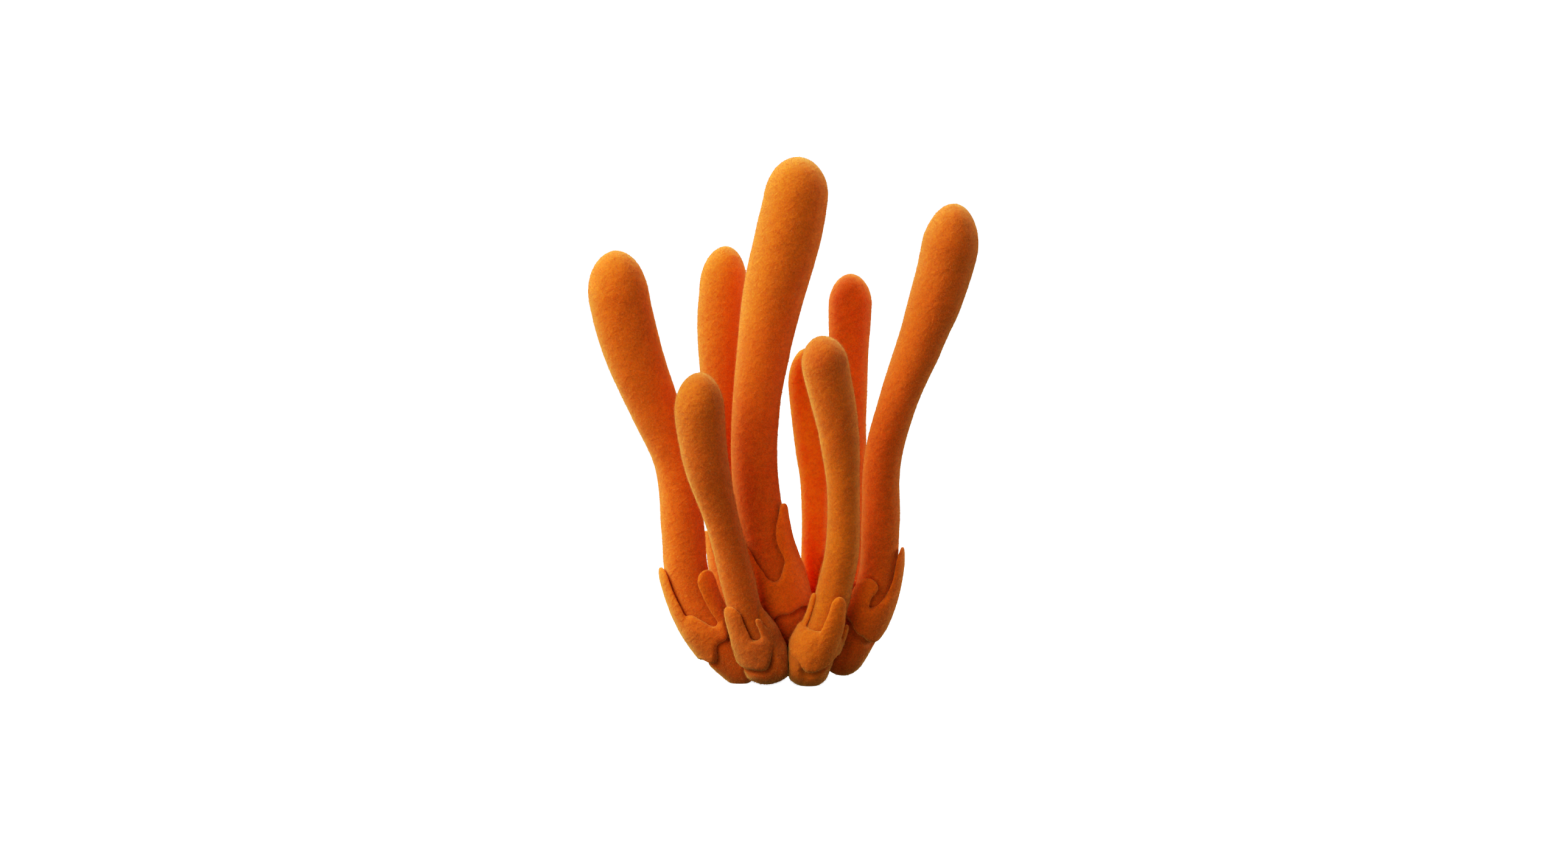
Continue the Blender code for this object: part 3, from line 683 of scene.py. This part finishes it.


# Each tone runs from a low colour to a crown colour between two heights, in metres. The climb is partly
# the flesh's own hue and partly painted light and shade: each club is painted lighter or darker with
# height as the light falls on it, and the sheaths are painted darker low down. The last pair is how
# much of the light passes into the flesh, and how deep.
CLUB_CLIMB = (0.022, 0.062)
SKIN_CLIMB = (0.005, 0.014)
FOOT_SHADE_HEIGHTS = (0.002, 0.011)  # painted shade: the feet darken towards the ground between these heights
SOFT = (0.3, 0.0012)
GLOWING = (0.9, 0.004)  # thin flesh with light behind it
TONES = {
    "apricot": ((0.76, 0.084, 0.001), (0.75, 0.120, 0.001), CLUB_CLIMB, SOFT),
    "apricot_skin": ((0.64, 0.082, 0.001), (0.80, 0.118, 0.001), SKIN_CLIMB, SOFT),
    "orange": ((0.67, 0.070, 0.001), (0.67, 0.115, 0.001), CLUB_CLIMB, SOFT),
    "orange_skin": ((0.70, 0.074, 0.001), (0.82, 0.116, 0.001), SKIN_CLIMB, SOFT),
    "rust": ((0.72, 0.080, 0.001), (0.54, 0.086, 0.001), CLUB_CLIMB, SOFT),
    "rust_skin": ((0.60, 0.072, 0.001), (0.80, 0.112, 0.001), SKIN_CLIMB, SOFT),
    "ochre": ((0.56, 0.070, 0.001), (0.59, 0.108, 0.001), CLUB_CLIMB, SOFT),
    "ochre_skin": ((0.36, 0.050, 0.001), (0.72, 0.104, 0.001), SKIN_CLIMB, SOFT),
    "gold": ((0.68, 0.122, 0.001), (0.45, 0.044, 0.001), CLUB_CLIMB, SOFT),
    "gold_skin": ((0.58, 0.090, 0.001), (0.84, 0.142, 0.001), SKIN_CLIMB, SOFT),
    "amber": ((0.66, 0.086, 0.001), (0.69, 0.118, 0.001), CLUB_CLIMB, SOFT),
    "flame": ((0.90, 0.135, 0.001), (1.00, 0.225, 0.001), CLUB_CLIMB, GLOWING),
    "red": ((1.00, 0.150, 0.001), (0.66, 0.050, 0.001), CLUB_CLIMB, SOFT),
}


# The patterns of the felt: how many waves go into a metre, and the shade or the shift of the tone
# at the pattern's low and high places.
DRIFT_SCALE, DRIFT = 150, (-0.14, 0.14)
MOTTLE_SCALE, MOTTLE = 800, (-0.12, 0.12)
STROKE_SCALE, STROKE_SHADE = 1100, (0.93, 1.07)
STROKE_STRETCH, STROKE_SLANT, STROKE_WAVE = (1.6, 1.2, 0.8), -36, 0.8
GRAIN_SCALE, GRAIN_SHADE = 1600, (0.95, 1.05)
FUZZ_SCALE, FUZZ_SHADE = 4500, (0.85, 1.15)
STROKE_HEIGHT, GRAIN_HEIGHT = 0.0001, 0.00003
NOISE_RANGE = (0.3, 0.7)  # what such a pattern runs between
TONE_RANGE = (0.2, 0.8)  # the part of the climb from low tone to crown that height alone gives
# painted shade in the creases between parts, darkest where they touch
CREASE_SHADE = 0.72
# painted shade at the feet, deepest at the ground
FOOT_SHADE = 0.7


def felt(name, glow):
    """A matte surface with a golden sheen and light in its flesh: the material and its shader."""
    material = bpy.data.materials.new(name)
    material.use_nodes = True
    shader = material.node_tree.nodes["Principled BSDF"]
    for key, value in (
        ("Roughness", 0.9),
        ("Specular IOR Level", 0.1),
        ("Sheen Weight", 0.5),
        ("Sheen Roughness", 0.5),
        ("Sheen Tint", (0.8, 0.64, 0.12, 1)),
        ("Subsurface Weight", glow[0]),
        ("Subsurface Radius", (1.0, 0.25, 0.05)),
        ("Subsurface Scale", glow[1]),
    ):
        shader.inputs[key].default_value = value
    return material, shader


def velvet(name, low_tone, crown_tone, climb, glow):
    """Felted skin: a drifting tone that climbs with height, partly as painted light and shade, slanting
    strokes, grain, and painted shade in the creases and towards the ground.
    """
    material, shader = felt(name, glow)
    nodes, links = material.node_tree.nodes, material.node_tree.links
    where = nodes.new("ShaderNodeTexCoord").outputs["Object"]
    slanted = nodes.new("ShaderNodeMapping")
    slanted.vector_type = "TEXTURE"
    slanted.inputs["Scale"].default_value = STROKE_STRETCH
    slanted.inputs["Rotation"].default_value = (0.0, math.radians(STROKE_SLANT), 0.0)
    links.new(where, slanted.inputs["Vector"])

    def noise(vector, scale, detail, distortion=0.0):
        node = nodes.new("ShaderNodeTexNoise")
        node.inputs["Scale"].default_value = scale
        node.inputs["Detail"].default_value = detail
        node.inputs["Distortion"].default_value = distortion
        links.new(vector, node.inputs["Vector"])
        return node.outputs["Fac"]

    def ranged(value, start, end, low, high):
        node = nodes.new("ShaderNodeMapRange")
        node.inputs["From Min"].default_value = start
        node.inputs["From Max"].default_value = end
        node.inputs["To Min"].default_value = low
        node.inputs["To Max"].default_value = high
        links.new(value, node.inputs["Value"])
        return node.outputs["Result"]

    def added(one, other):
        node = nodes.new("ShaderNodeMath")
        node.operation = "ADD"
        links.new(one, node.inputs[0])
        links.new(other, node.inputs[1])
        return node.outputs["Value"]

    def shaded(colour, shade):
        node = nodes.new("ShaderNodeMix")
        node.data_type = "RGBA"
        node.blend_type = "MULTIPLY"
        node.inputs["Factor"].default_value = 1.0
        links.new(colour, node.inputs["A"])
        links.new(shade, node.inputs["B"])
        return node.outputs["Result"]

    def raised(height, depth, below=None):
        node = nodes.new("ShaderNodeBump")
        node.inputs["Strength"].default_value = 1.0
        node.inputs["Distance"].default_value = depth
        links.new(height, node.inputs["Height"])
        if below:
            links.new(below, node.inputs["Normal"])
        return node.outputs["Normal"]

    axes = nodes.new("ShaderNodeSeparateXYZ")
    links.new(where, axes.inputs["Vector"])
    # the tone climbs with height: partly own hue, partly painted light and shade
    height = ranged(axes.outputs["Z"], *climb, *TONE_RANGE)
    drift = ranged(noise(where, DRIFT_SCALE, 2), *NOISE_RANGE, *DRIFT)
    mottle = ranged(noise(where, MOTTLE_SCALE, 2), *NOISE_RANGE, *MOTTLE)
    tone = nodes.new("ShaderNodeValToRGB")
    tone.color_ramp.elements[0].color = (*low_tone, 1)
    tone.color_ramp.elements[1].color = (*crown_tone, 1)
    links.new(added(added(height, drift), mottle), tone.inputs["Fac"])

    strokes = noise(slanted.outputs["Vector"], STROKE_SCALE, 1, STROKE_WAVE)
    grain = noise(where, GRAIN_SCALE, 2)
    fuzz = noise(where, FUZZ_SCALE, 1)
    crease = nodes.new("ShaderNodeAttribute")
    crease.attribute_name = "crease"
    colour = shaded(tone.outputs["Color"], ranged(strokes, *NOISE_RANGE, *STROKE_SHADE))
    colour = shaded(colour, ranged(grain, *NOISE_RANGE, *GRAIN_SHADE))
    colour = shaded(colour, ranged(fuzz, *NOISE_RANGE, *FUZZ_SHADE))
    # painted shade: darker where another piece lies near, in the creases between parts
    colour = shaded(colour, ranged(crease.outputs["Fac"], 0.0, 1.0, 1.0, CREASE_SHADE))
    # painted shade: darker towards the ground
    colour = shaded(colour, ranged(axes.outputs["Z"], *FOOT_SHADE_HEIGHTS, FOOT_SHADE, 1.0))
    links.new(colour, shader.inputs["Base Color"])
    normal = raised(grain, GRAIN_HEIGHT, raised(strokes, STROKE_HEIGHT))
    links.new(normal, shader.inputs["Normal"])
    return material


FIBRE_SHEEN_GAIN = (1.1, 1.5, 1.0)  # painted sheen: single fibres are painted yellower and paler than the felt under them, for pale soft rims
FIBRE_SHEEN_LIFT = (0.0, 0.04, 0.03)


def fine_fibre(name, low_tone, crown_tone, glow):
    """The plain colour of single fibres, with a painted sheen: paler and yellower than the felt under
    them.
    """
    material, shader = felt(name, glow)
    felt_colour = [(low + crown) / 2 for low, crown in zip(low_tone, crown_tone)]
    colour = [min(c * gain + lift, 1.0) for c, gain, lift in zip(felt_colour, FIBRE_SHEEN_GAIN, FIBRE_SHEEN_LIFT)]
    shader.inputs["Base Color"].default_value = (*colour, 1)
    return material


VELVETS = {tone: velvet("velvet_" + tone, *colours) for tone, colours in TONES.items()}
NAPS = {
    tone: fine_fibre("nap_" + tone, low, crown, glow) for tone, (low, crown, _, glow) in TONES.items()
}


def read(items, key, width=1, kind=np.float32):
    """What every item of a mesh holds under the key, as an array with a row for each item."""
    values = np.empty(len(items) * width, kind)
    items.foreach_get(key, values)
    return values.reshape(-1, width) if width > 1 else values


def mark_creases(pieces):
    """Stores on every point how near another piece is: 1 where they touch, 0 in the open. The skin's
    colour is darkened by it, as painted shade in the creases.
    """
    graph = bpy.context.evaluated_depsgraph_get()
    trees = {key: BVHTree.FromObject(piece, graph) for key, piece in pieces.items()}
    places, boxes = {}, {}
    for key, piece in pieces.items():
        places[key] = read(piece.data.vertices, "co", 3)
        low = places[key][places[key][:, 2] < CREASED_BELOW]
        boxes[key] = low.min(axis=0) - CREASE_WIDTH, low.max(axis=0) + CREASE_WIDTH
    for (kind, name), piece in pieces.items():
        points = places[kind, name]
        gap = np.full(len(points), CREASE_WIDTH)
        for other_kind, other in pieces:
            if other == name and (kind, other_kind) != ("club", "sheath"):
                continue
            lowest, highest = boxes[other_kind, other]
            near = np.flatnonzero(((points > lowest) & (points < highest)).all(axis=1))
            find = trees[other_kind, other].find_nearest
            for i in near:
                found = find(points[i], gap[i])
                if found[3] is not None:
                    gap[i] = min(gap[i], found[3])
        crease = piece.data.attributes.new("crease", "FLOAT", "POINT")
        crease.data.foreach_set("value", (1 - gap / CREASE_WIDTH).astype(np.float32))


PIECES = {}
for name, body in BUNCH.items():
    for kind, mesh, finishing, tone in (
        ("club", grow_club(name), CLUB_FINISH, body["tones"][0]),
        ("sheath", grow_sheath(name), SHEATH_FINISH, body["tones"][1]),
    ):
        piece = finish(f"velvet_{kind}_{name}", mesh, finishing)
        piece.data.materials.append(VELVETS[tone])
        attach(piece, "root")
        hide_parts(f"{kind}_{name}")
        PIECES[kind, name] = piece
mark_creases(PIECES)


def grow_nap(piece, kind, tone, chance):
    """Short fibres, one thin triangle each, that stand on the open skin and lean every way."""
    data = piece.data
    data.calc_loop_triangles()
    corners = read(data.loop_triangles, "vertices", 3, np.int32)
    points = read(data.vertices, "co", 3)
    crease = read(data.attributes["crease"].data, "value")
    corners = corners[crease[corners].max(axis=1) < NAP_CREASE_LIMIT]
    first, second, third = [points[corners[:, i]].astype(float) for i in range(3)]
    facing = np.cross(second - first, third - first)
    area = np.linalg.norm(facing, axis=1) / 2
    facing /= 2 * area[:, None] + 1e-20
    count = int(area.sum() * NAP_DENSITY[kind])
    chosen = chance.choice(len(area), count, p=area / area.sum())
    share = np.sort(chance.random((count, 2)), axis=1)
    share = np.column_stack([share[:, 0], share[:, 1] - share[:, 0], 1 - share[:, 1]])
    root = first[chosen] * share[:, :1] + second[chosen] * share[:, 1:2] + third[chosen] * share[:, 2:]
    lean = facing[chosen] + chance.normal(0, NAP_LEAN, (count, 3))
    lean /= np.linalg.norm(lean, axis=1)[:, None]
    side = np.cross(lean, chance.normal(0, 1, (count, 3)))
    side *= NAP_WIDTH / 2 / np.linalg.norm(side, axis=1)[:, None]
    root -= lean * NAP_WIDTH
    tip = root + lean * NAP_LENGTH[kind] * chance.uniform(NAP_SHORTEST, 1.0, (count, 1))
    fibres = np.stack([root - side, root + side, tip], axis=1).reshape(-1, 3)
    fibres = np.clip(fibres, CAD_BOX[0], CAD_BOX[1])
    mesh = bpy.data.meshes.new(piece.name.replace("velvet", "nap"))
    mesh.from_pydata(fibres, [], np.arange(count * 3).reshape(-1, 3))
    mesh.materials.append(NAPS[tone])
    return add_object(mesh.name, mesh)


CHANCE = np.random.default_rng(NAP_SEED)
for (kind, name), piece in PIECES.items():
    nap = grow_nap(piece, kind, BUNCH[name]["tones"][kind == "sheath"], CHANCE)
    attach(nap, "root")


# Each lamp: which way its light goes, how strong it is and how many degrees wide it looks.
LAMPS = {
    "key": ((0.9, 0.1, -0.9), 7.4, 40),
    "front_fill": ((0.7, 0.9, -0.5), 1.6, 40),
    "floor_fill": ((0.1, 1.0, 0.3), 0.6, 40),
    "right_fill": ((-1.0, 0.1, -0.2), 0.6, 35),
    "left_rim": ((0.85, -0.5, -0.4), 2.9, 30),
    "right_rim": ((-0.85, -0.5, -0.3), 1.8, 25),
    "rear": ((-0.05, -0.65, -0.9), 5.0, 40),
}
FLOOR_RADIUS = 6.0  # metres


def lay_floor():
    """A wide white floor that only the camera sees."""
    mesh = bmesh.new()
    bmesh.ops.create_circle(mesh, cap_ends=True, segments=96, radius=FLOOR_RADIUS)
    data = bpy.data.meshes.new("floor")
    mesh.to_mesh(data)
    mesh.free()
    floor = add_object("floor", data)
    white = bpy.data.materials.new("white_floor")
    white.use_nodes = True
    shader = white.node_tree.nodes["Principled BSDF"]
    shader.inputs["Base Color"].default_value = (0.9, 0.9, 0.9, 1)
    shader.inputs["Roughness"].default_value = 1.0
    shader.inputs["Emission Color"].default_value = (1, 1, 1, 1)
    shader.inputs["Emission Strength"].default_value = WHITE
    data.materials.append(white)
    floor.visible_diffuse = False
    floor.visible_glossy = False
    floor.visible_shadow = False


def light_studio():
    """A white surround that only the camera sees, and soft lamps: key, fills, and rims from behind."""
    world = bpy.data.worlds.new("studio")
    world.use_nodes = True
    nodes, links = world.node_tree.nodes, world.node_tree.links
    nodes["Background"].inputs["Color"].default_value = (1, 1, 1, 1)
    seen = nodes.new("ShaderNodeLightPath").outputs["Is Camera Ray"]
    glow = nodes.new("ShaderNodeMath")
    glow.operation = "MULTIPLY"
    glow.inputs[1].default_value = WHITE
    links.new(seen, glow.inputs[0])
    links.new(glow.outputs["Value"], nodes["Background"].inputs["Strength"])
    bpy.context.scene.world = world

    for name, (towards, strength, width) in LAMPS.items():
        sun = bpy.data.lights.new(name, "SUN")
        sun.energy = strength
        sun.angle = math.radians(width)
        lamp = add_object(name, sun)
        lamp.rotation_mode = "QUATERNION"
        lamp.rotation_quaternion = mathutils.Vector(towards).to_track_quat("-Z", "Y")


# The lights at which the picture's response is set. After the last it runs straight to white.
RESPONSE_STOPS = (0.1, 0.2, 0.3, 0.4, 0.5, 0.6, 0.7, 0.85, 1.0, 1.2, 1.4, 1.6)


def soft_shoulder():
    """The picture's response to light: straight for dark tones, bright ones roll off before white."""
    view = bpy.context.scene.view_settings
    view.view_transform = "Standard"
    view.use_curve_mapping = True
    response = view.curve_mapping
    response.clip_max_x = WHITE
    points = response.curves[3].points
    points[1].location = (WHITE, 1)
    for light in RESPONSE_STOPS:
        points.new(light, light / math.sqrt(1 + light**2))
    for point in points:
        point.handle_type = "VECTOR"
    response.update()


def look():
    """The camera, a little above level and so far away that there is hardly any perspective."""
    lens = bpy.data.cameras.new("camera")
    lens.sensor_width = SENSOR_WIDTH
    lens.lens = SENSOR_WIDTH * CAMERA_DISTANCE / FRAME_WIDTH
    lens.clip_start = 0.01
    lens.clip_end = 100.0
    camera = add_object("camera", lens)
    tilt = math.radians(CAMERA_ELEVATION)
    camera.location = (
        FRAME_CENTRE[0] * MILLIMETRE,
        -CAMERA_DISTANCE * math.cos(tilt) * MILLIMETRE,
        (FRAME_CENTRE[1] + CAMERA_DISTANCE * math.sin(tilt)) * MILLIMETRE,
    )
    camera.rotation_euler = (math.pi / 2 - tilt, 0, 0)
    bpy.context.scene.camera = camera


lay_floor()
light_studio()
look()
soft_shoulder()
